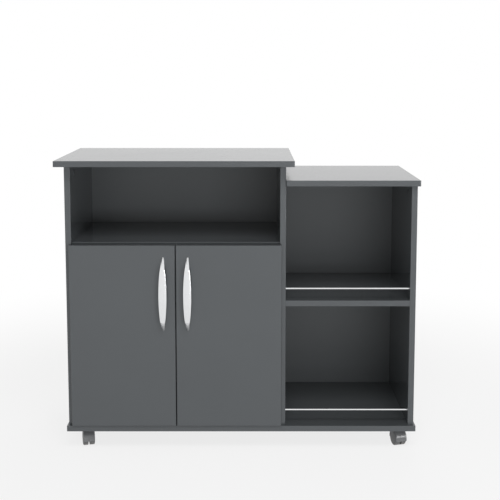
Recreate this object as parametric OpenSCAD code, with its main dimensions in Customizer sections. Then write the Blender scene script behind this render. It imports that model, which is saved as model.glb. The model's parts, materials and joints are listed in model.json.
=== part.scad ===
// Microwave cart: a raised worktop over an open compartment and a two-door cupboard,
// beside a lower worktop over two open bays with guard rails, on four swivel castors.
// The front faces -Y and Z is up. The origin is on the floor, under the middle of the cart.

/* [Boards] */
// Thickness of every board
board_t = 15; // [14:1:19]
// Radius on the edges of the boards
edge_r = 1; // [0.5:0.1:2]
// Radius on the corners of the worktops, seen from above
corner_r = 2; // [1:0.5:10]
// Depth of the side panels, front to back
carcass_d = 360; // [320:5:420]
// Clear width of the left bay
left_bay_w = 528; // [480:2:600]
// Clear width of the right bay
right_bay_w = 316; // [280:2:400]
// Clear height of the cupboard behind the doors
cupboard_h = 460; // [420:2:520]
// Clear height of the open compartment above the cupboard
niche_h = 196; // [162:2:260]
// How far the open compartment's floor stays behind the side panels' front edge
niche_setback = 12; // [4:1:25]
// Clear height of the right bay below its shelf
lower_bay_h = 311; // [260:1:340]
// Clear height of the right bay above its shelf
upper_bay_h = 294; // [250:1:310]

/* [Worktops and base] */
// How far the left worktop stands out at each side
left_top_side = 20; // [10:1:40]
// How far the left worktop stands out ahead of the side panels
left_top_front = 36; // [20:1:45]
// How far the right worktop stands out on the right
right_top_side = 6; // [2:1:20]
// How far the right worktop stands out ahead of the side panels
right_top_front = 12; // [4:1:30]
// How far the base stands out at each side
base_side = 4; // [1:0.5:5]
// How far the base stands out ahead of the side panels
base_front = 12; // [4:1:16]

/* [Back panels] */
// Thickness of the back panels
back_t = 3; // [2.5:0.5:5]
// Distance from the rear edge to the back panels
back_inset = 18; // [10:1:40]
// Depth of the grooves that hold the back panels
groove_depth = 5; // [3:0.5:6]
// Clearance round a back panel in its groove
groove_clear = 0.3; // [0.1:0.1:0.5]

/* [Adjustable shelf] */
// Height of the adjustable shelf's underside above the base
shelf_rise = 224; // [160:1:260]
// How far the adjustable shelf stays behind the side panels' front edge
shelf_setback = 45; // [30:1:80]
// Clearance at each end of the adjustable shelf
shelf_clear = 0.6; // [0.4:0.1:1.5]
// Diameter of the shelf pins
shelf_pin_d = 5; // [4:0.5:6]
// How deep a shelf pin sits in the panel
shelf_pin_in = 8; // [6:1:9]
// How far a shelf pin stands out of the panel
shelf_pin_out = 8; // [6:1:12]
// Distance from the shelf's front and rear edges to its pins
shelf_pin_edge = 40; // [30:1:60]
// Distance between the holes of a row of pin holes
pin_hole_step = 32; // [25:1:40]

/* [Doors] */
// Thickness of the doors
door_t = 15; // [14:1:19]
// Gap between a closed door and the side panels
door_gap = 2.5; // [2.5:0.1:3]
// How far a door covers the edge of the panel that carries it
door_overlay = 4.5; // [4:0.1:4.8]
// Gap between the two doors
door_meet = 2; // [1.5:0.1:4]
// Gap between the doors and the base
door_base_gap = 1.5; // [1:0.1:4]
// How far the doors stop below the top of the open compartment's floor
door_top_drop = 3.5; // [2:0.1:10]

/* [Handles] */
// Length of a handle
handle_l = 190; // [160:1:240]
// Width of a handle at its middle
handle_w = 20; // [14:0.5:24]
// Width of a handle at its tips
handle_tip_w = 4.5; // [4:0.5:7]
// Length over which a handle's sides run straight to its tips
handle_taper = 40; // [25:1:60]
// How far a handle stands out from the door
handle_rise = 27; // [22:0.5:35]
// Length from a handle's tip to the bend between its leg and its grip
handle_leg = 28; // [22:1:34]
// How far a handle's grip bows out between its bends
handle_bow = 2.5; // [1.5:0.5:4]
// Thickness of a handle at its middle
handle_t = 5; // [4:0.5:7]
// Height of the crown across a handle
handle_crown = 3; // [1.5:0.1:3.5]
// Distance between the two screws of a handle
handle_screw_step = 160; // [130:1:164]
// Distance from a handle's middle line to the edge where the doors meet
handle_edge = 30; // [20:1:60]
// Height of the middle of the handles above the base
handle_z = 346; // [200:1:360]
// Diameter of a handle's screws
handle_screw_d = 4; // [3:0.5:5]

/* [Hinges] */
// Distance from a door's top and bottom edges to the middle of its hinges
hinge_inset = 80; // [60:1:120]
// Diameter of the hinge cup
cup_d = 35; // [35:1:36]
// Depth of the hinge cup in the door
cup_depth = 12.5; // [12.5:0.1:13]
// Wall of the hinge cup
cup_wall = 0.8; // [0.6:0.1:0.8]
// Distance from the door's edge to the hinge cup
cup_edge = 3; // [2.8:0.1:3.2]
// Thickness of the hinge cup's flange
flange_t = 1; // [0.8:0.1:1]
// Distance from the panel's inner face to the pivot pin
pivot_in = 2.5; // [2.3:0.1:2.6]
// Distance from the door's inner face to the pivot pin
pivot_deep = 8.5; // [8.3:0.1:8.6]
// Diameter of the pivot pin
pivot_d = 2.6; // [2:0.1:2.8]
// Radial clearance of the pivot pin in the eye of the arm
pivot_clear = 0.05; // [0.03:0.01:0.1]
// Outer diameter of the eye of the arm
eye_d = 5; // [4.6:0.1:5]
// Thickness of the hinge arm's sheet
arm_t = 2.2; // [1.6:0.1:2.2]
// Width of the neck of the hinge arm
neck_w = 7; // [5:0.5:7]
// Width of the body of the hinge arm
arm_w = 14; // [12:0.5:18]
// Length of the hinge arm behind the panel's front edge
arm_l = 66; // [60:1:80]
// Distance from the panel's inner face to the outside of the hinge arm
arm_high = 15.2; // [15.2:0.1:17]
// Distance from the panel's front edge to the screws of the mounting plate
plate_back = 37; // [34:1:42]
// Distance between the two screws of the mounting plate
plate_screw_step = 32; // [30:1:40]

/* [Guard rails] */
// Diameter of the guard rails
rail_d = 5; // [4:0.5:8]
// Height of the lower rail above the base
lower_rail_z = 35; // [20:1:60]
// Height of the upper rail above its shelf
upper_rail_z = 29; // [20:1:60]
// Distance from the panels' front edge to the rails
rail_back = 12; // [8:1:25]
// How deep a rail sits in a panel
rail_in = 8; // [5:1:9]

/* [Castors] */
// Height of the castors, floor to base
castor_h = 50; // [50:0.5:54]
// Diameter of the wheels
wheel_d = 40; // [38:0.5:40]
// Width of one wheel
wheel_w = 13.5; // [11:0.5:14.5]
// Distance from the kingpin to the wheels' axle
trail = 20; // [18:0.5:22]
// Distance from the base's ends to the kingpins
castor_side = 43.5; // [38:0.5:80]
// Distance from the base's front and rear edges to the kingpins
castor_edge = 60; // [50:1:90]
// How far the castors are swivelled from straight ahead
castor_yaw = 15; // [0:1:45]
// Width of the web between the wheels
web_t = 3.4; // [3:0.1:7]
// Thickness of the hood
hood_t = 2.6; // [2:0.1:3]
// Gap between the wheels and the hood
hood_clear = 1; // [0.6:0.1:1.2]
// Gap between a wheel and the web
wheel_gap = 0.5; // [0.4:0.1:1]
// Diameter of the axles
axle_d = 6; // [5:0.5:7]
// Diameter of the kingpins
kingpin_d = 8; // [7:0.5:8]
// Radial clearance of the axles and the kingpins in what turns on them
pin_clear = 0.05; // [0.03:0.01:0.1]
// Side of the castors' top plates
castor_plate = 42; // [40:1:50]
// Thickness of the castors' top plates
castor_plate_t = 2.5; // [2:0.1:3]
// Distance between the screws of a top plate
castor_screw_step = 31; // [30:0.5:38]

/* [Fittings] */
// Distance from the panels' front edge to the front fittings
fitting_front = 60; // [40:1:100]
// Distance between the front and the rear fittings
fitting_step = 224; // [160:1:240]
// Diameter of the cam locks
cam_d = 15; // [12:1:15]
// Depth of the cam locks
cam_depth = 11.5; // [10:0.1:11.5]
// Distance from a board's end to the middle of its cam lock
cam_set = 24; // [20:1:34]
// Diameter of the cam bolts
bolt_d = 6; // [5:0.5:6.5]
// How deep a cam bolt is screwed into the other board
bolt_in = 9; // [7:0.5:9]
// Diameter of the screws that hold the base
base_screw_d = 5; // [4:0.5:6]
// Length of the screws that hold the base
base_screw_l = 50; // [40:1:60]
// Clearance round fittings that are pushed into a hole
fit_clear = 0.1; // [0.05:0.01:0.2]

/* [Hidden] */
$fn = 64;
fine_fn = 24;

// Colours
charcoal = "#5f6365";
shelf_grey = "#5b5f61";
hardboard = "#55585a";
chrome = "#dfe3e6";
steel = "#b9bec2";
hood_grey = "#8d9194";
wheel_grey = "#4a4d50";
zinc = "#a9adb0";

// Overlap of a cutting tool past the face that it cuts
cut = 1;

// Places across the cart
carcass_w = 3 * board_t + left_bay_w + right_bay_w;
total_w = left_top_side + carcass_w + right_top_side;
left_out_x = left_top_side - total_w / 2;
left_in_x = left_out_x + board_t;
divider_x = left_in_x + left_bay_w;
right_in_x = divider_x + board_t;
right_side_x = right_in_x + right_bay_w;
right_out_x = right_side_x + board_t;

// Places front to back
door_face = door_gap + door_t;
reach = max(door_face + handle_rise, left_top_front);
front_y = (reach - carcass_d) / 2;
rear_y = front_y + carcass_d;
back_y = rear_y - back_inset - back_t;
shelf_d = carcass_d - back_inset - back_t - groove_clear;
left_top_w = 2 * (left_top_side + board_t) + left_bay_w;
left_top_d = left_top_front + carcass_d;

// Heights
base_z = castor_h;
floor_z = base_z + board_t;
niche_floor_z = floor_z + cupboard_h;
niche_z = niche_floor_z + board_t;
left_top_z = niche_z + niche_h;
bay_shelf_z = floor_z + lower_bay_h;
upper_bay_z = bay_shelf_z + board_t;
right_top_z = upper_bay_z + upper_bay_h;

// Doors
door_w = (left_bay_w + 2 * door_overlay - door_meet) / 2;
door_bottom_z = floor_z + door_base_gap;
door_h = niche_z - door_top_drop - door_bottom_z;
left_door_x = left_in_x - door_overlay;
right_door_x = divider_x + door_overlay - door_w;
door_back_y = front_y - door_gap;
door_front_y = front_y - door_face;
hinge_heights = [door_bottom_z + door_h - hinge_inset, door_bottom_z + hinge_inset];

// Handles: a grip that is an arc between two bends, a straight leg from each bend to its tip,
// a crowned section, and a leaf outline of two arcs that run on straight to the tips
handle_x = [left_door_x + door_w - handle_edge, right_door_x + handle_edge];
bend_z = handle_l / 2 - handle_leg;
grip_r = (pow(bend_z, 2) + pow(handle_bow, 2)) / (2 * handle_bow);
leg_rise = handle_rise - handle_bow;
leg_angle = atan(leg_rise / handle_leg);
crown_r = (pow(handle_w / 2, 2) + pow(handle_crown, 2)) / (2 * handle_crown);
leaf_ease = 1.25;
leaf_z = handle_l / 2 - handle_taper;
leaf_r = leaf_ease * leaf_z * (leaf_z + 2 * handle_taper) / (handle_w - handle_tip_w);
leaf_half_w = handle_w / 2 - leaf_r + sqrt(pow(leaf_r, 2) - pow(leaf_z, 2));
flank_x = handle_tip_w / 2 + (leaf_half_w - handle_tip_w / 2) * handle_l / (2 * handle_taper);
arc_fn = 256;
foot_wall = 1.7;
foot_d = handle_screw_d + 2 * foot_wall;
foot_edge = 10;
foot_inset = handle_t / 2;
foot_z = min(handle_screw_step / 2, handle_l / 2 - foot_edge);
foot_in_leg = (handle_l / 2 - foot_z) * tan(leg_angle) - foot_inset / cos(leg_angle);
foot_h = min(foot_in_leg, leg_rise - foot_inset);
screw_grip = 6;
screw_head_d = 8;
screw_head_h = 2.5;

// Hinges
cup_x = cup_edge + cup_d / 2 - door_overlay;
cup_rim = 1.5;
flange_w = 19;
flange_l = 62;
flange_shift = 5;
flange_corner = 8;
flange_edge = 1;
cup_screw_step = 48;
cup_screw_shift = 9;
cup_screw_d = 3.5;
cup_screw_l = 9;
cup_screw_head = 1.6;
neck_bend = 2;
arm_front = 4;
arm_screw_d = 4.5;
arm_screw_front = 14;
arm_screw_rear = 12;
pin_reach = cup_x - pivot_in + pivot_d / 2;
pin_l = 2 * (sqrt(pow(cup_d / 2, 2) - pow(pin_reach, 2)) - fit_clear);
plate_t = 2.5;
plate_w = 18;
plate_l = 50;
plate_corner = 5;
boss_w = 8;
boss_front = 20;
boss_l = 44;
plate_screw_d = 4;
plate_screw_l = 10;
plate_screw_head_d = 7;
plate_screw_head_h = 2;

// Castors
wheel_r = wheel_d / 2;
wheel_shoulder = 3;
wheel_rim = 4;
wheel_face_t = 4.4;
face_dome = 1.2;
face_r = (pow(wheel_r, 2) + pow(face_dome, 2)) / (2 * face_dome);
rim_face_z = wheel_w - face_r + sqrt(pow(face_r, 2) - pow(wheel_r - wheel_shoulder, 2));
seam_w = 0.8;
seam_depth = 2;
hub_wall = 2.5;
axle_cover = 3;
hood_in_r = wheel_r + hood_clear;
hood_out_r = hood_in_r + hood_t;
hood_short = 1.2;
hood_half_w = web_t / 2 + wheel_gap + wheel_w - hood_short;
plate_z = castor_h - castor_plate_t;
castor_plate_corner = 5;
castor_screw_d = 4;
castor_screw_l = 10;
castor_screw_head_d = 7;
castor_screw_head_h = 1.8;
kingpin_flange_d = 15;
kingpin_flange_t = 2;
swivel_gap = 0.3;
hood_top_z = plate_z - kingpin_flange_t - swivel_gap;
socket_wall = 2;
socket_z = wheel_r + sqrt(pow(hood_in_r, 2) - pow(trail - kingpin_d / 2 - socket_wall, 2));
socket_d = kingpin_d + 10;
hood_lip_r = 2;
hood_lip_drop = 4.3;
axle_boss_wall = 4.5;
axle_boss_r = axle_d / 2 + axle_boss_wall;
castor_names = ["front_left", "front_right", "rear_left", "rear_right"];
castor_x = [left_out_x - base_side + castor_side, right_out_x + base_side - castor_side];
castor_y = [front_y - base_front + castor_edge, rear_y - castor_edge];
castor_places = [for (y = castor_y) for (x = castor_x) [x, y]];

// Fittings: place and turn of each cam joint. The bolt runs along the joint's +X into the
// board that holds the cam lock, and the cam lock opens on the joint's -Z side.
fitting_y = [front_y + fitting_front, front_y + fitting_front + fitting_step];
shelf_mid = board_t / 2;
cam_joints = concat(
    [for (y = fitting_y) [[left_in_x, y, niche_floor_z + shelf_mid], [0, 0, 0]]],
    [for (y = fitting_y) [[divider_x, y, niche_floor_z + shelf_mid], [0, 0, 180]]],
    [for (y = fitting_y) [[right_in_x, y, bay_shelf_z + shelf_mid], [0, 0, 0]]],
    [for (y = fitting_y) [[right_side_x, y, bay_shelf_z + shelf_mid], [0, 0, 180]]],
    [for (y = fitting_y) [[right_in_x, y, right_top_z + shelf_mid], [0, 0, 0]]],
    [for (y = fitting_y) [[left_out_x + shelf_mid, y, left_top_z], [0, 90, 180]]],
    [for (y = fitting_y) [[divider_x + shelf_mid, y, left_top_z], [0, 90, 0]]],
    [for (y = fitting_y) [[right_side_x + shelf_mid, y, right_top_z], [0, 90, 0]]]
);
cap_d = 17;
cap_t = 0.8;
cam_slot_l = 8;
cam_slot_w = 1.4;
cam_slot_depth = 2.5;
bolt_hole_d = bolt_d + 2 * fit_clear;
bolt_collar_d = 7;
bolt_collar_t = 2;
bolt_neck_d = bolt_d - 1;
bolt_head_l = 4;
base_screw_head_d = 9;
base_screw_head_h = 3;
base_screw_x = [left_out_x + shelf_mid, divider_x + shelf_mid, right_side_x + shelf_mid];

// Rows of holes for the shelf pins
pin_rows = [front_y + shelf_setback + shelf_pin_edge, back_y - groove_clear - shelf_pin_edge];
pin_z = floor_z + shelf_rise - shelf_pin_d / 2;

// Outline with round corners, from the origin
module round_rect(w, h, r) {
    translate([r, 0]) square([w - 2 * r, h]);
    translate([0, r]) square([w, h - 2 * r]);
    for (x = [r, w - r])
        for (y = [r, h - r])
            translate([x, y]) circle(r = r, $fn = fine_fn);
}

// Upright board: thin along X, its long edges rounded
module upright(h) {
    linear_extrude(h) round_rect(board_t, carcass_d, edge_r);
}

// Lying board: thin along Z, its front and rear edges rounded
module lying(w, d) {
    rotate([90, 0, 90]) linear_extrude(w) round_rect(d, board_t, edge_r);
}

// Board whose edges are rounded all round, with corner radius r_flat in its own plane
module worktop(w, d, t) {
    intersection() {
        rotate([90, 0, 90]) linear_extrude(w) round_rect(d, t, edge_r);
        translate([0, d, 0]) rotate([90, 0, 0]) linear_extrude(d) round_rect(w, t, edge_r);
        linear_extrude(t) round_rect(w, d, corner_r);
    }
}

// Groove of a back panel in a face at x, z, cut towards +X or -X
module upright_groove(x, z_low, z_high, side) {
    groove_w = back_t + 2 * groove_clear;
    low = side > 0 ? x - cut : x - groove_depth;
    translate([low, back_y - groove_clear, z_low]) cube([groove_depth + cut, groove_w, z_high - z_low]);
}

module lying_groove(x_low, x_high, z) {
    groove_w = back_t + 2 * groove_clear;
    groove_l = x_high - x_low + 2 * groove_depth;
    translate([x_low - groove_depth, back_y - groove_clear, z])
        cube([groove_l, groove_w, groove_depth + cut]);
}

// Room for the cam locks and cam bolts of every joint
module cam_room() {
    for (joint = cam_joints)
        translate(joint[0]) rotate(joint[1]) {
            translate([cam_set, 0, -board_t / 2 - cut])
                cylinder(d = cam_d + 2 * fit_clear, h = cam_depth + cut + fit_clear);
            rotate([0, 90, 0]) cylinder(d = bolt_collar_d + 2 * fit_clear, h = cam_set);
            translate([-bolt_in, 0, 0]) rotate([0, 90, 0]) cylinder(d = bolt_hole_d, h = bolt_in + cut);
        }
}

module rail_room() {
    for (z = [floor_z + lower_rail_z, upper_bay_z + upper_rail_z])
        translate([right_in_x - rail_in, front_y + rail_back, z])
            rotate([0, 90, 0]) cylinder(d = rail_d + 2 * fit_clear, h = right_bay_w + 2 * rail_in);
}

module pin_room() {
    d = shelf_pin_d + 2 * fit_clear;
    for (y = pin_rows)
        for (step = [-1:1])
            translate([left_in_x - shelf_pin_in, y, pin_z + step * pin_hole_step])
                rotate([0, 90, 0]) cylinder(d = d, h = left_bay_w + 2 * shelf_pin_in, $fn = fine_fn);
}

module base_screw_room() {
    for (x = base_screw_x)
        for (y = fitting_y)
            translate([x, y, base_z]) {
                cylinder(d = base_screw_d, h = base_screw_l, $fn = fine_fn);
                translate([0, 0, -cut]) cylinder(d = base_screw_head_d, h = base_screw_head_h + cut);
            }
}

// ---------------------------------------------------------------- boards

module top_left() {
    color(charcoal) difference() {
        translate([left_out_x - left_top_side, front_y - left_top_front, left_top_z])
            worktop(left_top_w, left_top_d, board_t);
        lying_groove(left_in_x, divider_x, left_top_z - cut);
        cam_room();
    }
}

module top_right() {
    w = right_bay_w + board_t + right_top_side;
    color(charcoal) difference() {
        translate([right_in_x, front_y - right_top_front, right_top_z])
            worktop(w, right_top_front + carcass_d, board_t);
        // Rebate under the left worktop's overhang, where the two worktops meet at one level
        translate([right_in_x - cut, front_y - left_top_front - cut, left_top_z - fit_clear])
            cube([left_top_side + fit_clear + cut, left_top_d + 2 * cut, board_t + 2 * fit_clear]);
        lying_groove(right_in_x, right_side_x, right_top_z - cut);
        cam_room();
    }
}

module side_left() {
    color(charcoal) difference() {
        translate([left_out_x, front_y, floor_z]) upright(left_top_z - floor_z);
        upright_groove(left_in_x, floor_z - cut, left_top_z + cut, -1);
        cam_room();
        pin_room();
        plate_screw_room();
        base_screw_room();
    }
}

module divider() {
    color(charcoal) difference() {
        translate([divider_x, front_y, floor_z]) upright(left_top_z - floor_z);
        upright_groove(divider_x, floor_z - cut, left_top_z + cut, 1);
        upright_groove(right_in_x, floor_z - cut, right_top_z + board_t, -1);
        cam_room();
        pin_room();
        rail_room();
        plate_screw_room();
        base_screw_room();
    }
}

module side_right() {
    color(charcoal) difference() {
        translate([right_side_x, front_y, floor_z]) upright(right_top_z - floor_z);
        upright_groove(right_side_x, floor_z - cut, right_top_z + cut, 1);
        cam_room();
        rail_room();
        base_screw_room();
    }
}

module base_panel() {
    color(charcoal) difference() {
        translate([left_out_x - base_side, front_y - base_front, base_z])
            worktop(carcass_w + 2 * base_side, base_front + carcass_d, board_t);
        lying_groove(left_in_x, divider_x, floor_z - groove_depth);
        lying_groove(right_in_x, right_side_x, floor_z - groove_depth);
        base_screw_room();
        castor_screw_room();
    }
}

module compartment_floor() {
    color(shelf_grey) difference() {
        translate([left_in_x, front_y + niche_setback, niche_floor_z])
            lying(left_bay_w, shelf_d - niche_setback);
        cam_room();
    }
}

module bay_shelf() {
    color(shelf_grey) difference() {
        translate([right_in_x, front_y, bay_shelf_z]) lying(right_bay_w, shelf_d);
        cam_room();
    }
}

module cupboard_shelf() {
    color(shelf_grey)
        translate([left_in_x + shelf_clear, front_y + shelf_setback, floor_z + shelf_rise])
            lying(left_bay_w - 2 * shelf_clear, shelf_d - shelf_setback);
}

module back_panel(x_low, x_high, z_high) {
    tongue = groove_depth - groove_clear;
    color(hardboard)
        translate([x_low - tongue, back_y, floor_z - tongue])
            cube([x_high - x_low + 2 * tongue, back_t, z_high - floor_z + 2 * tongue]);
}

module back_left() {
    back_panel(left_in_x, divider_x, left_top_z);
}

module back_right() {
    back_panel(right_in_x, right_side_x, right_top_z);
}

// ---------------------------------------------------------------- doors and handles

// What sits on a door is placed for the left door and mirrored for the right one
module on_door(right) {
    mid_x = (left_in_x + divider_x) / 2;
    translate([mid_x, 0, 0]) mirror([right ? 1 : 0, 0, 0]) translate([-mid_x, 0, 0]) children();
}

// Place of the left handle (side 0) or of the right handle (side 1), on the doors' outer faces
module at_handle(side = 0) {
    translate([handle_x[side], door_front_y, floor_z + handle_z]) children();
}

module handle_screw_places() {
    for (z = [-1, 1] * foot_z)
        translate([0, 0, z]) rotate([-90, 0, 0]) children();
}

module door() {
    difference() {
        translate([left_door_x, door_front_y, door_bottom_z]) worktop(door_w, door_t, door_h);
        for (z = hinge_heights)
            at_hinge(z) translate([cup_x, -door_gap, 0]) {
                rotate([90, 0, 0]) translate([0, 0, -cut]) cylinder(d = cup_d, h = cup_depth + cut);
                cup_screws(0);
            }
        at_handle() handle_screw_places() translate([0, 0, -cut])
            cylinder(d = handle_screw_d + 4 * fit_clear, h = door_t + 2 * cut, $fn = fine_fn);
    }
}

// Section of the room behind a crowned side, which touches y = 0
module crown_section() {
    w = handle_w + cut;
    intersection() {
        translate([0, -crown_r]) circle(r = crown_r);
        translate([-w / 2, -crown_r]) square([w, crown_r]);
    }
    translate([-w / 2, -crown_r - handle_l]) square([w, handle_l + cut]);
}

module at_grip() {
    translate([0, grip_r - handle_rise, 0]) rotate([0, 90, 0]) children();
}

module at_leg() {
    translate([0, -leg_rise, bend_z]) rotate([-leg_angle, 0, 0]) children();
}

// Room between the outer sides of grip and legs and the door
module handle_outside() {
    intersection() {
        at_grip() rotate_extrude($fn = arc_fn) translate([grip_r, 0]) rotate(-90) crown_section();
        behind_leg_outside();
        mirror([0, 0, 1]) behind_leg_outside();
    }
}

module behind_leg_outside() {
    at_leg() rotate(180) linear_extrude(4 * handle_l, center = true) crown_section();
}

// Room between the inner sides of grip and legs and the door
module handle_inside() {
    intersection() {
        at_grip() cylinder(r = grip_r - handle_t, h = 2 * handle_w, center = true, $fn = arc_fn);
        behind_leg_inside();
        mirror([0, 0, 1]) behind_leg_inside();
    }
}

module behind_leg_inside() {
    at_leg() translate([-handle_w, handle_t, -2 * handle_l])
        cube([2 * handle_w, 2 * handle_l, 4 * handle_l]);
}

// Outline of a handle, seen from the front: a leaf between two arcs, straight towards its tips
module handle_leaf() {
    tip_x = handle_tip_w / 2;
    tip_z = handle_l / 2;
    intersection() {
        translate([leaf_r - handle_w / 2, 0]) circle(r = leaf_r, $fn = arc_fn);
        translate([handle_w / 2 - leaf_r, 0]) circle(r = leaf_r, $fn = arc_fn);
        polygon([
            [-flank_x, 0], [-tip_x, tip_z], [tip_x, tip_z],
            [flank_x, 0], [tip_x, -tip_z], [-tip_x, -tip_z]
        ]);
    }
}

module handle() {
    difference() {
        union() {
            difference() {
                intersection() {
                    rotate([90, 0, 0]) linear_extrude(handle_rise + cut) handle_leaf();
                    handle_outside();
                }
                handle_inside();
            }
            // Posts for the screws, hidden behind the legs
            handle_screw_places() translate([0, 0, -foot_h]) cylinder(d = foot_d, h = foot_h);
        }
        handle_screw_places() translate([0, 0, -screw_grip])
            cylinder(d = handle_screw_d + 2 * fit_clear, h = screw_grip + cut, $fn = fine_fn);
    }
}

module handle_screws() {
    at_handle() handle_screw_places() {
        translate([0, 0, -screw_grip + fit_clear])
            cylinder(d = handle_screw_d, h = door_t + screw_grip, $fn = fine_fn);
        translate([0, 0, door_t]) cylinder(d = screw_head_d, h = screw_head_h);
    }
}

module door_left() {
    color(charcoal) door();
}

module door_right() {
    color(charcoal) on_door(true) door();
}

module handle_left() {
    color(chrome) at_handle() handle();
}

module handle_right() {
    color(chrome) at_handle(1) handle();
}

module handle_screws_left() {
    color(steel) handle_screws();
}

module handle_screws_right() {
    color(steel) on_door(true) handle_screws();
}

// ---------------------------------------------------------------- hinges

// Hinge frame: on the panel's inner face and its front edge, at the hinge's height.
// +X points into the cupboard and +Y to the rear.
module at_hinge(z) {
    translate([left_in_x, front_y, z]) children();
}

module flange_outline() {
    translate([flange_shift - flange_w / 2, -flange_l / 2]) round_rect(flange_w, flange_l, flange_corner);
    intersection() {
        circle(d = cup_d + 2 * cup_rim);
        translate([flange_edge - cup_d / 2, -cup_d]) square([2 * cup_d, 2 * cup_d]);
    }
}

// Cup frame: the cup's middle on the door's inner face, +Z into the door
module at_cup() {
    translate([cup_x, -door_gap, 0]) rotate([90, 0, 0]) children();
}

module cup_screws(head) {
    for (z = [-1, 1] * cup_screw_step / 2)
        translate([cup_screw_shift, 0, z]) rotate([90, 0, 0]) {
            cylinder(d = cup_screw_d, h = cup_screw_l, $fn = fine_fn);
            if (head > 0)
                translate([0, 0, -flange_t - head]) {
                    cylinder(d = 2 * cup_screw_d, h = head);
                    cylinder(d = cup_screw_d, h = head + flange_t + cut, $fn = fine_fn);
                }
        }
}

module pivot_place() {
    translate([pivot_in, -door_gap - pivot_deep, 0]) children();
}

module hinge_cup(z) {
    color(steel) at_hinge(z) difference() {
        union() {
            at_cup() cylinder(d = cup_d, h = cup_depth - fit_clear);
            at_cup() translate([0, 0, -flange_t]) linear_extrude(flange_t) flange_outline();
        }
        at_cup() translate([0, 0, -flange_t - cut])
            cylinder(d = cup_d - 2 * cup_wall, h = flange_t + cut + cup_depth - fit_clear - cup_wall);
        pivot_place() cylinder(d = pivot_d, h = cup_d, center = true, $fn = fine_fn);
        translate([cup_x, -door_gap + flange_t, 0])
            for (dz = [-1, 1] * cup_screw_step / 2)
                translate([cup_screw_shift, cut, dz]) rotate([90, 0, 0])
                    cylinder(d = cup_screw_d, h = flange_t + 2 * cut, $fn = fine_fn);
    }
}

module hinge_pins() {
    color(zinc) for (z = hinge_heights)
        at_hinge(z) pivot_place() cylinder(d = pivot_d, h = pin_l, center = true, $fn = fine_fn);
}

// Goose-neck arm: an eye on the pivot pin, a neck that goes round the door's edge as it
// swings, and a channel that sits over the mounting plate
module hinge_arm(z) {
    pivot_y = -door_gap - pivot_deep;
    neck_x = arm_high - arm_t;
    bend_out = neck_bend + arm_t;
    bend_x = arm_high - bend_out;
    bend_y = pivot_y - arm_t / 2 + bend_out;
    cheek_y = arm_front + neck_bend;
    color(steel) at_hinge(z) difference() {
        union() {
            translate([0, 0, -neck_w / 2]) linear_extrude(neck_w) {
                translate([pivot_in, pivot_y]) circle(d = eye_d);
                translate([pivot_in, pivot_y - arm_t / 2]) square([bend_x - pivot_in, arm_t]);
                intersection() {
                    difference() {
                        translate([bend_x, bend_y]) circle(r = bend_out);
                        translate([bend_x, bend_y]) circle(r = neck_bend);
                    }
                    translate([bend_x, bend_y - bend_out]) square(bend_out);
                }
                translate([neck_x, bend_y]) square([arm_t, arm_front - bend_y + cut]);
            }
            // Channel: a back and two cheeks with a round front end
            translate([neck_x, arm_front, 0]) rotate([90, 0, 90]) linear_extrude(arm_t)
                translate([0, -arm_w / 2]) round_rect(arm_l - arm_front, arm_w, neck_bend);
            for (side = [-1, 1])
                translate([plate_t + fit_clear, cheek_y, side * (arm_w - arm_t) / 2 - arm_t / 2])
                    cube([neck_x - plate_t, arm_l - neck_bend - cheek_y, arm_t]);
        }
        pivot_place() cylinder(d = pivot_d + 2 * pivot_clear, h = cup_d, center = true, $fn = fine_fn);
        // Seats of the adjusting screw and the fixing screw
        for (y = [arm_front + arm_screw_front, arm_l - arm_screw_rear])
            translate([neck_x - cut, y, 0]) rotate([0, 90, 0]) cylinder(d = arm_screw_d, h = arm_t + 2 * cut);
    }
}

module plate_screw_places() {
    for (z = hinge_heights)
        for (dz = [-1, 1] * plate_screw_step / 2)
            at_hinge(z) translate([0, plate_back, dz]) rotate([0, 90, 0]) children();
}

module hinge_plate_pair() {
    difference() {
        for (z = hinge_heights)
            at_hinge(z) {
                translate([0, plate_back - plate_w / 2, 0]) rotate([90, 0, 90])
                    linear_extrude(plate_t) translate([0, -plate_l / 2])
                        round_rect(plate_w, plate_l, plate_corner);
                translate([0, plate_back - boss_front, -boss_w / 2])
                    cube([arm_high - arm_t - fit_clear, boss_l, boss_w]);
            }
        plate_screw_places() translate([0, 0, -cut])
            cylinder(d = plate_screw_d, h = plate_t + 2 * cut, $fn = fine_fn);
    }
}

module plate_screw_pair() {
    plate_screw_places() {
        translate([0, 0, -plate_screw_l])
            cylinder(d = plate_screw_d, h = plate_screw_l + plate_t, $fn = fine_fn);
        translate([0, 0, plate_t]) cylinder(d = plate_screw_head_d, h = plate_screw_head_h);
    }
}

module plate_screw_room() {
    for (right = [false, true])
        on_door(right) plate_screw_places() translate([0, 0, -plate_screw_l])
            cylinder(d = plate_screw_d, h = plate_screw_l + cut, $fn = fine_fn);
}

module hinge_plates() {
    color(zinc) for (right = [false, true])
        on_door(right) hinge_plate_pair();
}

module plate_screws() {
    color(zinc) for (right = [false, true])
        on_door(right) plate_screw_pair();
}

module door_cup_screws() {
    color(zinc) for (z = hinge_heights)
        at_hinge(z) translate([cup_x, -door_gap, 0]) cup_screws(cup_screw_head);
}

// ---------------------------------------------------------------- rails, pins and fittings

module guard_rail(z) {
    color(chrome) translate([right_in_x - rail_in + fit_clear, front_y + rail_back, z])
        rotate([0, 90, 0]) cylinder(d = rail_d, h = right_bay_w + 2 * (rail_in - fit_clear));
}

module shelf_pins() {
    color(zinc) for (y = pin_rows)
        for (side = [0, 1])
            translate([side == 0 ? left_in_x : divider_x, y, pin_z]) rotate([0, side == 0 ? 90 : -90, 0]) {
                translate([0, 0, fit_clear - shelf_pin_in])
                    cylinder(d = shelf_pin_d, h = shelf_pin_in + shelf_pin_out, $fn = fine_fn);
            }
}

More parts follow.
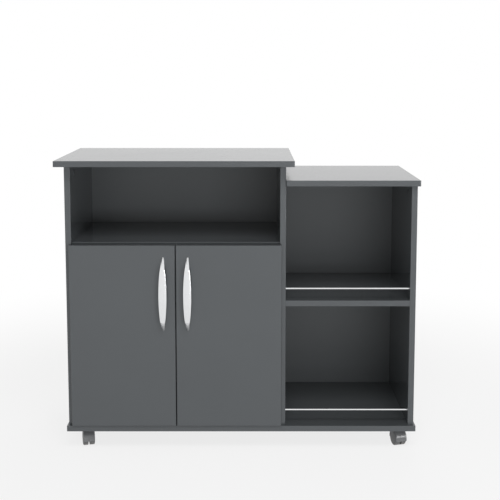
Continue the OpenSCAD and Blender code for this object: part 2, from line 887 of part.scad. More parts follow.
module cam_locks() {
    color(zinc) for (joint = cam_joints)
        translate(joint[0]) rotate(joint[1]) difference() {
            translate([cam_set, 0, -board_t / 2]) cylinder(d = cam_d, h = cam_depth);
            translate([cam_set - cam_d, 0, 0]) rotate([0, 90, 0])
                cylinder(d = bolt_collar_d + 2 * fit_clear, h = cam_d + bolt_collar_d / 2);
            translate([cam_set, 0, -board_t / 2]) for (turn = [0, 90])
                rotate([0, 0, turn]) cube([cam_slot_l, cam_slot_w, 2 * cam_slot_depth], center = true);
        }
}

module cam_bolts() {
    color(steel) for (joint = cam_joints)
        translate(joint[0]) rotate(joint[1]) rotate([0, 90, 0]) {
            translate([0, 0, fit_clear - bolt_in]) cylinder(d = bolt_d, h = bolt_in, $fn = fine_fn);
            cylinder(d = bolt_collar_d, h = bolt_collar_t, $fn = fine_fn);
            cylinder(d = bolt_neck_d, h = cam_set, $fn = fine_fn);
            translate([0, 0, cam_set - bolt_head_l])
                cylinder(d = bolt_collar_d, h = bolt_head_l, $fn = fine_fn);
        }
}

// Caps over the cam locks, in the colour of the boards
module cam_caps() {
    color(charcoal) for (joint = cam_joints)
        translate(joint[0]) rotate(joint[1])
            translate([cam_set, 0, -board_t / 2 - cap_t]) cylinder(d = cap_d, h = cap_t);
}

module base_screws() {
    color(zinc) for (x = base_screw_x)
        for (y = fitting_y)
            translate([x, y, base_z]) {
                cylinder(d = base_screw_d, h = base_screw_l, $fn = fine_fn);
                cylinder(d = base_screw_head_d, h = base_screw_head_h);
            }
}

// ---------------------------------------------------------------- castors

// Castor frame: on the kingpin's axis at floor level, +X towards the wheels' axle.
// The wheels trail to the front, as they do when the cart has been pushed back.
module at_castor(n) {
    translate(castor_places[n]) rotate([0, 0, castor_yaw - 90]) children();
}

module at_axle(n) {
    at_castor(n) translate([trail, 0, wheel_r]) rotate([90, 0, 0]) children();
}

module castor_plate_screw_places() {
    for (place = castor_places)
        for (dx = [-1, 1] * castor_screw_step / 2)
            for (dy = [-1, 1] * castor_screw_step / 2)
                translate([place[0] + dx, place[1] + dy, plate_z]) children();
}

module castor_screw_room() {
    castor_plate_screw_places()
        cylinder(d = castor_screw_d, h = castor_plate_t + castor_screw_l + cut, $fn = fine_fn);
}

module castor_plates() {
    color(steel) difference() {
        for (place = castor_places)
            translate([place[0] - castor_plate / 2, place[1] - castor_plate / 2, plate_z])
                linear_extrude(castor_plate_t) round_rect(castor_plate, castor_plate, castor_plate_corner);
        for (place = castor_places)
            translate([place[0], place[1], plate_z - cut])
                cylinder(d = kingpin_d, h = castor_plate_t + 2 * cut);
        castor_plate_screw_places() translate([0, 0, -cut])
            cylinder(d = castor_screw_d, h = castor_plate_t + 2 * cut, $fn = fine_fn);
    }
}

module kingpins() {
    color(zinc) for (place = castor_places)
        translate([place[0], place[1], 0]) {
            translate([0, 0, socket_z + swivel_gap])
                cylinder(d = kingpin_d, h = castor_h - socket_z - swivel_gap);
            translate([0, 0, plate_z - kingpin_flange_t])
                cylinder(d = kingpin_flange_d, h = kingpin_flange_t);
        }
}

module castor_screws() {
    color(zinc) castor_plate_screw_places() {
        cylinder(d = castor_screw_d, h = castor_plate_t + castor_screw_l, $fn = fine_fn);
        translate([0, 0, -castor_screw_head_h]) cylinder(d = castor_screw_head_d, h = castor_screw_head_h);
    }
}

// Hood: a shell over the treads of both wheels, a web between them that carries the axle, and
// a socket for the kingpin
module hood(n) {
    color(hood_grey) difference() {
        union() {
            difference() {
                at_axle(n) rotate_extrude() translate([0, -hood_half_w]) hood_section();
                // The shell is open below the axle
                at_castor(n) translate([-hood_out_r, -hood_out_r, -hood_out_r])
                    cube([trail + 2 * hood_out_r, 2 * hood_out_r, wheel_r + hood_out_r - hood_lip_drop]);
            }
            at_castor(n) translate([0, 0, wheel_r]) cylinder(d = socket_d, h = hood_top_z - wheel_r);
            at_axle(n) cylinder(r = axle_boss_r, h = web_t, center = true);
        }
        // Wheel wells at both sides of the web
        for (side = [-1, 1])
            at_axle(n) translate([0, 0, side * (web_t / 2 + hood_out_r)])
                cylinder(r = hood_in_r, h = 2 * hood_out_r, center = true);
        at_castor(n) translate([0, 0, socket_z]) cylinder(d = kingpin_d + 2 * pin_clear, h = castor_h);
        at_axle(n) cylinder(d = axle_d, h = web_t + 2 * cut, center = true);
    }
}

// Half section of the hood's shell: radius along X, width along Y, with round outer lips
module hood_section() {
    lip_r = hood_lip_r;
    width = 2 * hood_half_w;
    square([hood_out_r - lip_r, width]);
    translate([0, lip_r]) square([hood_out_r, width - 2 * lip_r]);
    for (y = [lip_r, width - lip_r])
        translate([hood_out_r - lip_r, y]) circle(r = lip_r, $fn = fine_fn);
}

module axle(n) {
    color(zinc) at_axle(n)
        cylinder(d = axle_d, h = web_t + 2 * (wheel_gap + wheel_w - axle_cover), center = true);
}

// Half section of a wheel: radius along X, width along Y, with a round outer shoulder and a
// domed outer face
module wheel_section() {
    intersection() {
        union() {
            square([wheel_r - wheel_shoulder, wheel_w]);
            square([wheel_r, rim_face_z - wheel_shoulder]);
            translate([wheel_r - wheel_shoulder, rim_face_z - wheel_shoulder])
                circle(r = wheel_shoulder, $fn = fine_fn);
        }
        translate([0, wheel_w - face_r]) circle(r = face_r, $fn = arc_fn);
        square([wheel_r, wheel_w]);
    }
}

// Wheel: a tread round a disc that a narrow seam sets off, hollow round the hub on its inner side
module wheel(n, side) {
    rim_r = wheel_r - wheel_rim;
    color(wheel_grey) at_axle(n) mirror([0, 0, side > 0 ? 0 : 1])
        translate([0, 0, web_t / 2 + wheel_gap]) difference() {
            rotate_extrude() wheel_section();
            translate([0, 0, wheel_w - seam_depth]) difference() {
                cylinder(r = rim_r, h = seam_depth + cut);
                translate([0, 0, -cut]) cylinder(r = rim_r - seam_w, h = seam_depth + 3 * cut);
            }
            translate([0, 0, -cut]) difference() {
                cylinder(r = rim_r, h = wheel_w - wheel_face_t + cut);
                translate([0, 0, -cut]) cylinder(r = axle_d / 2 + hub_wall, h = wheel_w + 2 * cut);
            }
            translate([0, 0, -cut])
                cylinder(d = axle_d + 2 * pin_clear, h = wheel_w - axle_cover + fit_clear + cut);
        }
}

// ---------------------------------------------------------------- nodes

top_left();
top_right();
side_left();
divider();
side_right();
base_panel();
compartment_floor();
cupboard_shelf();
bay_shelf();
back_left();
back_right();
door_left();
door_right();
handle_left();
handle_right();
handle_screws_left();
handle_screws_right();
guard_rail(upper_bay_z + upper_rail_z);  // guard_rail_upper
guard_rail(floor_z + lower_rail_z);  // guard_rail_lower
shelf_pins();
hinge_cup(hinge_heights[0]);  // hinge_cup_left_upper
hinge_cup(hinge_heights[1]);  // hinge_cup_left_lower
on_door(true) hinge_cup(hinge_heights[0]);  // hinge_cup_right_upper
on_door(true) hinge_cup(hinge_heights[1]);  // hinge_cup_right_lower
hinge_arm(hinge_heights[0]);  // hinge_arm_left_upper
hinge_arm(hinge_heights[1]);  // hinge_arm_left_lower
on_door(true) hinge_arm(hinge_heights[0]);  // hinge_arm_right_upper
on_door(true) hinge_arm(hinge_heights[1]);  // hinge_arm_right_lower
hinge_plates();
hinge_pins();  // hinge_pins_left
on_door(true) hinge_pins();  // hinge_pins_right
door_cup_screws();  // cup_screws_left
on_door(true) door_cup_screws();  // cup_screws_right
plate_screws();
cam_locks();
cam_bolts();
cam_caps();
base_screws();
castor_plates();
kingpins();
castor_screws();
for (n = [0:3]) {
    hood(n);
    axle(n);
    wheel(n, 1);
    wheel(n, -1);
}
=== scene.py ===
# %% [markdown]
# # A microwave cart, finished in Blender
# The cart is a flat-pack kitchen cart: charcoal melamine boards, two cupboard doors on concealed
# hinges, bow handles, two guard rails and four twin-wheel castors. Its boards and fittings come
# in as a fixed frame, at their real size and in metres. This notebook adds what the frame lacks:
# the camera, the finish of every surface, the heads of the screws, the soft edges of the handles
# and of the cover caps, and the studio.

# %% Load the frame
import json
import math

import bpy
from mathutils import Matrix, Vector


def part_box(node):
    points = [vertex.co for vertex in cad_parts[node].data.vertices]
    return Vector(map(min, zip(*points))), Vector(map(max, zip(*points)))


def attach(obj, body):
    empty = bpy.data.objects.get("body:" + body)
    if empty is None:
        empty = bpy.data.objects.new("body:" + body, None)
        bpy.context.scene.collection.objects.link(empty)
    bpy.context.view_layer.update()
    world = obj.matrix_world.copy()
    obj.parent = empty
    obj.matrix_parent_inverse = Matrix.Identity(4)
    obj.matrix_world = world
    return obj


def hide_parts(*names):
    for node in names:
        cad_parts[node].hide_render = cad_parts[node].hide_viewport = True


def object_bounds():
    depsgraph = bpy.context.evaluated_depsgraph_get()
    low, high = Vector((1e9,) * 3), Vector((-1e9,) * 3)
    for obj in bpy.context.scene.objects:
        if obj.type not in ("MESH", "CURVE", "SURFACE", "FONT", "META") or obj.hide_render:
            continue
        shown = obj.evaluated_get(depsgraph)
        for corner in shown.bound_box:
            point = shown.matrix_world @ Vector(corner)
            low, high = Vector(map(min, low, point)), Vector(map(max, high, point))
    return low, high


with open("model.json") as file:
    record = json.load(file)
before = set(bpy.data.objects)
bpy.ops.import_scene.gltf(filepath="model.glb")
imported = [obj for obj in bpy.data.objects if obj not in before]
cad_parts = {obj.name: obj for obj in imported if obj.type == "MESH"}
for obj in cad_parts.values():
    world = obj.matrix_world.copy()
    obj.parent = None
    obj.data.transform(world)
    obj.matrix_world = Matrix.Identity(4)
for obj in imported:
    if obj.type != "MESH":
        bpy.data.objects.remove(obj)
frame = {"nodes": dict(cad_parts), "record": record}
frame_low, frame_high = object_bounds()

X, Y, Z = range(3)

size = frame_high - frame_low
print(f"cart: {size.x:.3f} x {size.y:.3f} x {size.z:.3f} m, {len(frame['nodes'])} nodes")

# %% [markdown]
# ## The camera
# The cart was photographed from a little above its worktops, straight on, with a longish lens. A
# camera could be placed by eye, but the worktop's back edge and the inner corners of the bays
# give the place almost exactly: 2.6 m away and 0.98 m up. The lens is shifted down a little, as
# on a view camera, and the camera tilts for the rest, so the uprights stay close to parallel.

# %% Place the camera
CAMERA_PLACE = (0.0296, -2.577, 0.980)
CAMERA_TILT = math.radians(6.6)
LENS_MM = 69.9
LENS_SHIFT = -0.14

camera = bpy.data.objects.new("camera", bpy.data.cameras.new("camera"))
bpy.context.scene.collection.objects.link(camera)
camera.location = CAMERA_PLACE
camera.rotation_euler = (math.pi / 2 - CAMERA_TILT, 0, 0)
camera.data.lens = LENS_MM
camera.data.shift_y = LENS_SHIFT
bpy.context.scene.camera = camera
bpy.context.scene.view_settings.view_transform = "Standard"
print(f"camera {-CAMERA_PLACE[Y]:.2f} m in front, tilted {math.degrees(CAMERA_TILT):.1f} degrees")

# %% [markdown]
# ## Shader sums as Python
# A finish is a small network of nodes. The nodes could be wired one by one, but long sums of them
# are hard to read. A small class that stands for one output of a node lets a sum be written as
# it would be on paper, such as `1 - mask * 0.3`, and makes every other node with one method.

# %% A wire of a node tree
class Wire:
    """One output of a shader node. A sum on it adds the Math nodes that work it out."""

    def __init__(self, tree, socket=None):
        self.tree = tree
        self.socket = socket

    def node(self, kind, settings, values, output=0):
        """Adds a node, sets it up, fills its inputs and gives one of its outputs."""
        made = self.tree.nodes.new(kind)
        for name, setting in settings.items():
            setattr(made, name, setting)
        for name, value in values.items():
            if isinstance(value, Wire):
                self.tree.links.new(value.socket, made.inputs[name])
            else:
                made.inputs[name].default_value = value
        return Wire(self.tree, made.outputs[output] if made.outputs else None)

    def math(self, operation, *terms):
        return self.node("ShaderNodeMath", {"operation": operation}, dict(enumerate(terms)))

    def along(self, axis):
        """What a vector measures along one axis."""
        return self.node("ShaderNodeSeparateXYZ", {}, {0: self}, axis)

    def __add__(self, other):
        return self.math("ADD", self, other)

    def __radd__(self, other):
        return self.math("ADD", other, self)

    def __sub__(self, other):
        return self.math("SUBTRACT", self, other)

    def __rsub__(self, other):
        return self.math("SUBTRACT", other, self)

    def __mul__(self, other):
        return self.math("MULTIPLY", self, other)

    def __rmul__(self, other):
        return self.math("MULTIPLY", other, self)

    def __gt__(self, other):
        return self.math("GREATER_THAN", self, other)

    def __lt__(self, other):
        return self.math("LESS_THAN", self, other)

    def __or__(self, other):
        return self.math("MAXIMUM", self, other)

    def __abs__(self):
        return self.math("ABSOLUTE", self)

# %% [markdown]
# ## What every finish shares
# The record says which slot of finish each node takes. A finish could be made for every node, but
# one for each slot is enough, so a table keeps them by slot. All of them start from the same few
# ideas: a shader, a place on the piece in metres, and noise of some grain. These are written
# once here, so that each finish below says only what is particular to it.

# %% Start a finish
slot_of = {part["node"]: part["material_slot"] for part in frame["record"]["subparts"]}
finish_of = {}
print(f"slots of finish: {', '.join(sorted(set(slot_of.values())))}")


def new_finish(name, **constants):
    """A material whose shader's sockets take the constants, with a wire in its node tree."""
    finish = bpy.data.materials.new(name)
    finish.use_nodes = True
    shader = finish.node_tree.nodes["Principled BSDF"]
    for socket, value in constants.items():
        shader.inputs[socket.replace("_", " ")].default_value = value
    return finish, shader, Wire(finish.node_tree)


def keep(slot, finish):
    """Keeps a finish for the nodes of one slot."""
    finish_of[slot] = finish
    print(f"{finish.name}: {len(finish.node_tree.nodes)} shader nodes, for slot {slot}")


def join(shader, socket, wire):
    """Leads a wire into one of the shader's sockets."""
    wire.tree.links.new(wire.socket, shader.inputs[socket])


def own_place(wire):
    """A point's place on its piece, in metres."""
    return wire.node("ShaderNodeTexCoord", {}, {}, "Object")


def place_on(wire, stretch=(1, 1, 1)):
    """A point's place on its piece with each axis scaled, so that a pattern is drawn out."""
    return wire.node("ShaderNodeMapping", {}, {"Vector": own_place(wire), "Scale": stretch})


def noise(place, grain, detail, roughness=0.5):
    """Noise from 0 to 1 whose largest grains are about this size, in metres."""
    values = {"Vector": place, "Scale": 1 / grain, "Detail": detail, "Roughness": roughness}
    return place.node("ShaderNodeTexNoise", {}, values, "Fac")

# %% [markdown]
# A finish then needs masks and mixes: a mask says where something is, such as a scuff, and a mix
# lays one colour over another there. Wear is a mask too. It could be painted by hand on every
# piece, but a rounded normal differs from the true one only along edges, so it finds them all.

# %% Masks, colours and relief
MIX_COLOUR_A, MIX_COLOUR_B, MIX_COLOUR_OUT = 6, 7, 2
EDGE_SAMPLES = 6
EDGE_LEVELS = (0.01, 0.12)


def between(wire, low, high):
    """0 below the low level, 1 above the high one, and a smooth rise between them."""
    settings = {"interpolation_type": "SMOOTHSTEP"}
    return wire.node("ShaderNodeMapRange", settings, {0: wire, 1: low, 2: high})


def patches(place, grain, levels, detail):
    """Blots of about this grain, where a noise rises from the first level to the second."""
    return between(noise(place, grain, detail), *levels)


def worn_edge(wire, radius):
    """1 along sharp edges of a piece: there a rounded normal turns away from the true one."""
    rounded = wire.node("ShaderNodeBevel", {"samples": EDGE_SAMPLES}, {"Radius": radius})
    true = wire.node("ShaderNodeNewGeometry", {}, {}, "Normal")
    settings = {"operation": "DOT_PRODUCT"}
    same = wire.node("ShaderNodeVectorMath", settings, {0: rounded, 1: true}, "Value")
    return between(1 - same, *EDGE_LEVELS)


def mix(factor, colour_a, colour_b):
    """Lays colour B over colour A. The Mix node has a set of sockets for each kind of data."""
    values = {0: factor, MIX_COLOUR_A: colour_a, MIX_COLOUR_B: colour_b}
    return factor.node("ShaderNodeMix", {"data_type": "RGBA"}, values, MIX_COLOUR_OUT)


def shade(colour, level):
    """A colour made lighter or darker by one factor."""
    return tuple(channel * level for channel in colour) + (1,)


def vary(colour, mask, low, high):
    """A colour, shaded by the low level where the mask is 0 and by the high one where it is 1."""
    return mix(mask, shade(colour, low), shade(colour, high))


def bump(shader, height, depth):
    """Raises the surface by this height map, whose full rise is this many metres."""
    values = {"Height": height, "Distance": depth, "Strength": 1.0}
    join(shader, "Normal", height.node("ShaderNodeBump", {}, values))

# %% [markdown]
# ## Edge bands
# A board has a thin band glued round its edges, with a hairline joint where band and skin meet. A
# band could be a piece of its own, but at 0.8 mm it only shows as a change of gloss. So two masks
# find it, by how far a point lies from the edges of the board's box.

# %% Find the bands of a board
BAND_T = 0.0008
JOINT_W = 0.0003


def band_masks(wire, low, high):
    """Where the edge band of a board is, and the hairline where it meets the skin."""
    middle = (low + high) / 2
    half = (high - low) / 2
    thin = min(range(3), key=lambda axis: half[axis])
    here = own_place(wire)
    first, second = (
        half[axis] - abs(here.along(axis) - middle[axis]) for axis in range(3) if axis != thin
    )
    band = (first < BAND_T) | (second < BAND_T)
    band_and_joint = (first < BAND_T + JOINT_W) | (second < BAND_T + JOINT_W)
    return band, band_and_joint - band

# %% [markdown]
# ## Melamine boards
# The boards are chipboard with a charcoal melamine skin, pressed against a plate that leaves a
# fine pearl on it. The skin is satin: seen along the surface it mirrors the white studio, which
# is why the worktops look almost white from here. A photograph of a board could be wrapped on
# it, but a skin without a picture is better grown from noise. The bands are a little glossier.

# %% Finish of a board
CHARCOAL = (0.082, 0.089, 0.094)
COOL_SHEEN = (0.965, 0.975, 1.0, 1)
BOARD_ROUGHNESS = 0.13
BOARD_CLOUD = 0.16
PEARL_GRAIN = 0.0016
PEARL_DEPTH = 0.00002
FLECK_GRAIN = 0.0012
FLECK_LEVELS = (0.58, 0.70)
FLECK_COVER = 0.35
FLECK_SHADE = 1.35
SCUFF_GRAIN = 0.012
SCUFF_LEVELS = (0.60, 0.78)
SCUFF_DRAWN = (1, 1, 0.35)
RUB_GRAIN = 0.05
RUB_LEVELS = (0.52, 0.75)
RUB_RADIUS = 0.0012
RUB_COVER = 0.35
RUB_SHADE = 1.7
JOINT_SHADE = 0.5


def melamine(name, low, high):
    """The finish of the board that has these lowest and highest corners."""
    finish, shader, wire = new_finish(name, Specular_Tint=COOL_SHEEN)
    place = place_on(wire)
    cloud = noise(place, BOARD_CLOUD, detail=3)
    pearl = noise(place, PEARL_GRAIN, detail=2)
    fleck = patches(place, FLECK_GRAIN, FLECK_LEVELS, detail=1)
    scuff = patches(place_on(wire, SCUFF_DRAWN), SCUFF_GRAIN, SCUFF_LEVELS, detail=4)
    rubbed = worn_edge(wire, RUB_RADIUS) * patches(place, RUB_GRAIN, RUB_LEVELS, detail=3)
    band, joint = band_masks(wire, low, high)

    skin = vary(CHARCOAL, cloud, 0.96, 1.04)
    skin = mix(fleck * FLECK_COVER, skin, shade(CHARCOAL, FLECK_SHADE))
    skin = mix(joint, skin, shade(CHARCOAL, JOINT_SHADE))
    skin = mix(rubbed * RUB_COVER, skin, shade(CHARCOAL, RUB_SHADE))
    roughness = BOARD_ROUGHNESS + 0.03 * cloud + 0.03 * pearl + 0.05 * scuff - 0.03 * band
    join(shader, "Base Color", skin)
    join(shader, "Roughness", roughness)
    bump(shader, pearl * (1 - band) - joint, PEARL_DEPTH)
    return finish

# %% [markdown]
# ## Hardboard backs
# The backs are 3 mm hardboard, charcoal foil on the side that shows and bare brown fibre behind,
# as on most flat-pack cupboards. One finish could be laid on each side of the sheet, but the
# sheet is one solid, so the finish asks which way a face points and mixes the two.

# %% Finish of the hardboard backs
FOIL = (0.070, 0.076, 0.080)
FIBRE = (0.235, 0.150, 0.088)
FOIL_CLOUD = 0.2
FOIL_ROUGHNESS = 0.36
FIBRE_GRAIN = 0.0035
FIBRE_LEVELS = (0.35, 0.70)
FIBRE_DRAWN = (1, 1, 0.5)
FIBRE_DEPTH = 0.00006
FIBRE_UNDER_FOIL = 0.15


def hardboard(name):
    """A sheet with foil on its front and bare fibre on its back."""
    finish, shader, wire = new_finish(name)
    facing = wire.node("ShaderNodeTexCoord", {}, {}, "Normal")
    behind = facing.along(Y) > 0.5
    cloud = noise(place_on(wire), FOIL_CLOUD, detail=3)
    fibre = noise(place_on(wire, FIBRE_DRAWN), FIBRE_GRAIN, detail=4, roughness=0.7)
    foil = vary(FOIL, cloud, 0.94, 1.06)
    brown = vary(FIBRE, between(fibre, *FIBRE_LEVELS), 0.72, 1.18)
    join(shader, "Base Color", mix(behind, foil, brown))
    join(shader, "Roughness", FOIL_ROUGHNESS + 0.04 * cloud + behind * (0.2 + 0.1 * fibre))
    shows = FIBRE_UNDER_FOIL + (1 - FIBRE_UNDER_FOIL) * behind
    bump(shader, fibre * shows, FIBRE_DEPTH)
    return finish


keep("back_board", hardboard("hardboard"))

# %% [markdown]
# ## Metals
# The cart has satin chrome on the handles, a brighter chrome on the rails, nickel on the hinges'
# cups and arms and on the castors' plates, and duller zinc on pins, axles and most screws. Each
# could be a finish written out in full, but all of them are one recipe with other numbers: a
# metal shader, brushing drawn out along one axis that varies the gloss, and a faint tarnish. One
# function keeps them alike where they are alike.

# %% Finish of the metals
SATIN_CHROME = (0.80, 0.81, 0.82)
NICKEL = (0.66, 0.655, 0.64)
ZINC = (0.55, 0.565, 0.585)
BRUSH_STRETCH = 0.04
BRUSH_DEPTH = 0.000008
TARNISH_GRAIN = 0.011
TARNISH_LEVELS = (0.40, 0.75)
TARNISH_SHADE = 0.72
BRIGHT_EDGE = 0.0006
BRIGHT_COVER = 0.5
BRIGHT_SHADE = 1.06


def metal(name, colour, roughness, brushed, grain, tarnish):
    """A metal that was brushed along one axis, with a tarnish from 0 to 1."""
    finish, shader, wire = new_finish(name, Metallic=1.0)
    drawn = tuple(BRUSH_STRETCH if axis == brushed else 1.0 for axis in range(3))
    streak = noise(place_on(wire, drawn), grain, detail=3)
    cloud = noise(place_on(wire), TARNISH_GRAIN, detail=3)
    wear = worn_edge(wire, BRIGHT_EDGE)
    dulled = between(cloud, *TARNISH_LEVELS) * tarnish
    plating = vary(colour, streak, 0.97, 1.0)
    plating = mix(dulled, plating, shade(colour, TARNISH_SHADE))
    plating = mix(wear * BRIGHT_COVER, plating, shade(colour, BRIGHT_SHADE))
    join(shader, "Base Color", plating)
    join(shader, "Roughness", roughness + 0.06 * streak + 0.1 * tarnish * cloud - 0.04 * wear)
    bump(shader, streak, BRUSH_DEPTH)
    return finish


keep("satin_chrome", metal("satin_chrome", SATIN_CHROME, 0.20, Z, grain=0.0007, tarnish=0.05))
keep("hinge_steel", metal("nickel_plate", NICKEL, 0.24, Y, grain=0.0009, tarnish=0.15))
keep("zinc", metal("zinc_plate", ZINC, 0.34, Z, grain=0.0030, tarnish=0.45))

# %% [markdown]
# ## Moulded plastics
# Hoods and wheels are grey nylon, moulded against a lightly spark-eroded tool, and the cover caps
# match the boards. A plastic of this kind has a fine grain in its gloss, flow clouds that are
# only just seen, and rubs shiny and pale on its edges. The wheels also pick up floor dust, which
# could be scattered all over, but is put only where the height above the floor is low.

# %% Finish of the plastics
HOOD_GREY = (0.165, 0.170, 0.175)
WHEEL_GREY = (0.115, 0.118, 0.122)
MOULD_DEPTH = 0.00003
FLOW_GRAIN = 0.03
SHINY_EDGE = 0.0008
SHINY_COVER = 0.4
SHINY_SHADE = 1.5
DUST = (0.33, 0.31, 0.28, 1)
DUST_LEVELS = (0.3, 0.7)
DUST_HEIGHTS = (0.0, 0.02)


def plastic(name, colour, roughness, grain, dust=0.0):
    """A moulded plastic with an eroded grain, and dust that lies near the floor."""
    finish, shader, wire = new_finish(name)
    place = place_on(wire)
    texture = noise(place, grain, detail=2)
    flow = noise(place, FLOW_GRAIN, detail=2)
    wear = worn_edge(wire, SHINY_EDGE)
    body = vary(colour, flow, 0.93, 1.07)
    body = mix(wear * SHINY_COVER, body, shade(colour, SHINY_SHADE))
    if dust:
        low_down = 1 - between(place.along(Z), *DUST_HEIGHTS)
        body = mix(low_down * between(flow, *DUST_LEVELS) * dust, body, DUST)
    join(shader, "Base Color", body)
    join(shader, "Roughness", roughness + 0.1 * texture - 0.08 * wear)
    bump(shader, texture, MOULD_DEPTH)
    return finish


keep("cap", plastic("cover_cap", CHARCOAL, 0.16, grain=0.0009))
keep("hood_plastic", plastic("hood_nylon", HOOD_GREY, 0.20, grain=0.0008))
keep("wheel_plastic", plastic("wheel_nylon", WHEEL_GREY, 0.38, grain=0.0010, dust=0.5))

# %% [markdown]
# ## Putting the finishes on
# The finishes could be assigned node by node, but the table from slot to finish is shorter and
# can't forget a node. There are two exceptions: each board gets a finish of its own, made for its
# own box, and the rails get a chrome that is brighter than the handles' and brushed along their
# length.

# %% Assign the finishes
RAILS = ("guard_rail_upper", "guard_rail_lower")

for node, thing in frame["nodes"].items():
    if slot_of[node] == "board":
        chosen = melamine(f"melamine_{node}", *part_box(node))
    else:
        chosen = finish_of[slot_of[node]]
    for material_slot in thing.material_slots:
        material_slot.material = chosen
rail_chrome = metal("rail_chrome", SATIN_CHROME, 0.10, X, grain=0.0007, tarnish=0.02)
for rail in RAILS:
    frame["nodes"][rail].material_slots[0].material = rail_chrome
print(f"{len(bpy.data.materials)} finishes on {len(frame['nodes'])} nodes")

# %% [markdown]
# ## The screws
# In the frame a screw is a plain shank with a plain round head. Up close the head has a low dome
# and a cross recess for the driver. The recess could be a dark cross painted on, but light falls
# into a real one, so one screw of each size is modelled, and copies of it take the places of the
# frame's own. Those places could be typed in again, but the frame has them: a copy of a node is
# parted into its separate solids, and each solid's box is one screw's.

# %% Find the separate solids of a node
MERGE_WITHIN = 0.000001


def start_from(piece):
    """Only this piece is selected and active, so that operators act on nothing else."""
    bpy.ops.object.select_all(action="DESELECT")
    piece.select_set(True)
    bpy.context.view_layer.objects.active = piece


def merged_copy(node):
    """The frame's mesh is loose triangles, so a copy of it has its doubles merged."""
    piece = bpy.data.objects.new(f"{node}_copy", frame["nodes"][node].data.copy())
    bpy.context.scene.collection.objects.link(piece)
    start_from(piece)
    bpy.ops.object.mode_set(mode="EDIT")
    bpy.ops.mesh.select_all(action="SELECT")
    bpy.ops.mesh.remove_doubles(threshold=MERGE_WITHIN)
    bpy.ops.object.mode_set(mode="OBJECT")
    return piece


def loose_boxes(node):
    """The lowest and the highest corner of each separate solid in a node."""
    merged_copy(node)
    bpy.ops.object.mode_set(mode="EDIT")
    bpy.ops.mesh.separate(type="LOOSE")
    bpy.ops.object.mode_set(mode="OBJECT")
    boxes = []
    for solid in bpy.context.selected_objects:
        corners = [corner.co for corner in solid.data.vertices]
        boxes.append((Vector(map(min, zip(*corners))), Vector(map(max, zip(*corners)))))
        bpy.data.objects.remove(solid)
    return boxes

# %% [markdown]
# ### Moves for shaping a head
# A head needs three moves: a cylinder between two heights, a choice of faces to work on, and a cut
# with another solid. Faces could be chosen by their numbers, but those change with every edit,
# so a test on each face chooses them, such as which way it points.

# %% Cylinder, choice of faces and cut
ROUND_SIDES = 32


def cylinder(diameter, low, high):
    """A cylinder round the Z axis between two heights."""
    bpy.ops.object.select_all(action="DESELECT")
    middle = (0, 0, (low + high) / 2)
    bpy.ops.mesh.primitive_cylinder_add(
        vertices=ROUND_SIDES, radius=diameter / 2, depth=high - low, location=middle
    )
    bpy.ops.object.transform_apply(location=True, rotation=True, scale=True)
    return bpy.context.object


def edit_faces(piece, test):
    """Goes into edit mode with only those faces selected that pass the test."""
    start_from(piece)
    bpy.ops.object.mode_set(mode="EDIT")
    bpy.ops.mesh.select_mode(type="FACE")
    bpy.ops.mesh.select_all(action="DESELECT")
    bpy.ops.object.mode_set(mode="OBJECT")
    for face in piece.data.polygons:
        face.select = test(face)
    bpy.ops.object.mode_set(mode="EDIT")


def cut_out(piece, cutter):
    """Takes the cutter's room out of a piece and throws the cutter away."""
    start_from(piece)
    modifier = piece.modifiers.new("cut", "BOOLEAN")
    modifier.operation = "DIFFERENCE"
    modifier.solver = "EXACT"
    modifier.object = cutter
    bpy.ops.object.modifier_apply(modifier=modifier.name)
    bpy.data.objects.remove(cutter)

# %% [markdown]
# ### One screw
# A screw's head is pressed from wire, and a punch leaves the cross in it. A turned profile would
# give its dome, but would need a point for every ring. So the head starts as a cylinder whose
# top is inset and raised three times, and two bars that get narrower downwards are cut out of it.
# Steps and recess are shares of the head's own size, so one shape serves every screw.

# %% Model one screw
DOME = ((0.16, 0.28), (0.24, 0.16), (0.28, 0.06))  # inset and rise of each step
RECESS_LONG = 0.56
RECESS_WIDE = 0.13
RECESS_DEEP = 0.62
RECESS_TAPER = 0.6
LEVEL = 0.9  # a face looks up or down when its normal has this share along Z
SMOOTH_BELOW = math.radians(35)


def recess_bar(head_d, head_h, turn):
    """One bar of the cross, narrower at its bottom, as a driver's tip is."""
    bpy.ops.object.select_all(action="DESELECT")
    bpy.ops.mesh.primitive_cube_add(size=1, location=(0, 0, head_h))
    bar = bpy.context.object
    bar.scale = (RECESS_LONG * head_d, RECESS_WIDE * head_d, 2 * RECESS_DEEP * head_h)
    bar.rotation_euler = (0, 0, turn)
    bpy.ops.object.transform_apply(location=True, rotation=True, scale=True)
    edit_faces(bar, lambda face: face.normal.z < -LEVEL)
    bpy.ops.transform.resize(value=(RECESS_TAPER, RECESS_TAPER, 1))
    bpy.ops.object.mode_set(mode="OBJECT")
    return bar


def screw(head_d, head_h, shank_d, shank_l):
    """A screw along Z, its head standing on the plane z = 0."""
    rim_h = head_h * (1 - sum(rise for _, rise in DOME))
    piece = cylinder(head_d, 0, rim_h)
    edit_faces(piece, lambda face: face.normal.z > LEVEL)
    for inset, rise in DOME:
        bpy.ops.mesh.inset(thickness=inset * head_d / 2)
        bpy.ops.transform.translate(value=(0, 0, rise * head_h))
    bpy.ops.object.mode_set(mode="OBJECT")
    for turn in (0, math.pi / 2):
        cut_out(piece, recess_bar(head_d, head_h, turn))
    shank = cylinder(shank_d, -shank_l, 0)
    start_from(piece)
    shank.select_set(True)
    bpy.ops.object.join()
    bpy.ops.object.shade_smooth_by_angle(angle=SMOOTH_BELOW)
    return piece
